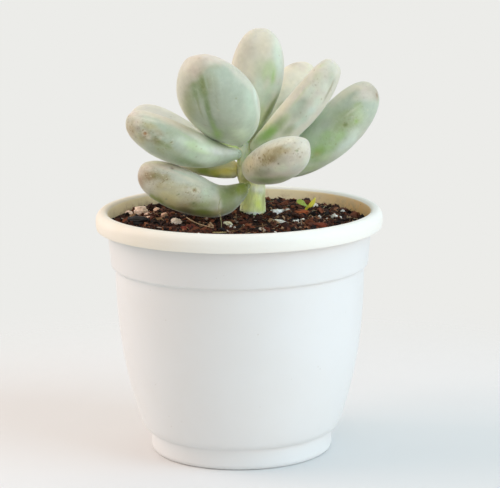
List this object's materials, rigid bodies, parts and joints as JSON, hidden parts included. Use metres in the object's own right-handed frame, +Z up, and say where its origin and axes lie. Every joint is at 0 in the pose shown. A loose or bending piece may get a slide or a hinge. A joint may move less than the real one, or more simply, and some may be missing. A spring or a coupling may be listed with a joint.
{
  "type": "potted succulent plant",
  "caption": "Thick-leaved powdery moonstone succulent on a short leaning stem, growing in bark mix in a round white plastic pot with a rolled rim and a raised base.",
  "frame": {"origin": "centre of the pot's resting ring, on the surface it stands on", "axes": "+Z up along the pot's axis, -Y towards the side first looked at, +X to that viewer's right"},
  "size_m": [0.1036, 0.1036, 0.1522],
  "materials": {
    "pot_plastic": "satin",
    "potting_mix": "matte",
    "stem": "matte",
    "leaf": "matte",
    "perlite": "matte",
    "charcoal": "matte",
    "bark": "matte",
    "seedling": "satin"
  },
  "bodies": {
    "root": {"bark_chip_1": "bark", "bark_chip_2": "bark", "bark_chip_3": "bark", "bark_chip_4": "bark", "bark_chip_5": "bark", "charcoal_chunk": "charcoal", "leaf_front_left": "leaf", "leaf_front_right": "leaf", "leaf_left": "leaf", "leaf_left_rear": "leaf", "leaf_low_left": "leaf", "leaf_rear": "leaf", "leaf_rear_low": "leaf", "leaf_rear_right": "leaf", "leaf_right": "leaf", "leaf_top": "leaf", "leaf_upper_right": "leaf", "perlite_01": "perlite", "perlite_02": "perlite", "perlite_03": "perlite", "perlite_04": "perlite", "perlite_05": "perlite", "perlite_06": "perlite", "perlite_07": "perlite", "perlite_08": "perlite", "perlite_09": "perlite", "perlite_10": "perlite", "perlite_11": "perlite", "perlite_12": "perlite", "perlite_13": "perlite", "pot": "pot_plastic", "potting_mix": "potting_mix", "seedling": "seedling", "stem_and_roots": "stem", "young_leaf_1": "leaf", "young_leaf_2": "leaf"}
  },
  "joints": []
}
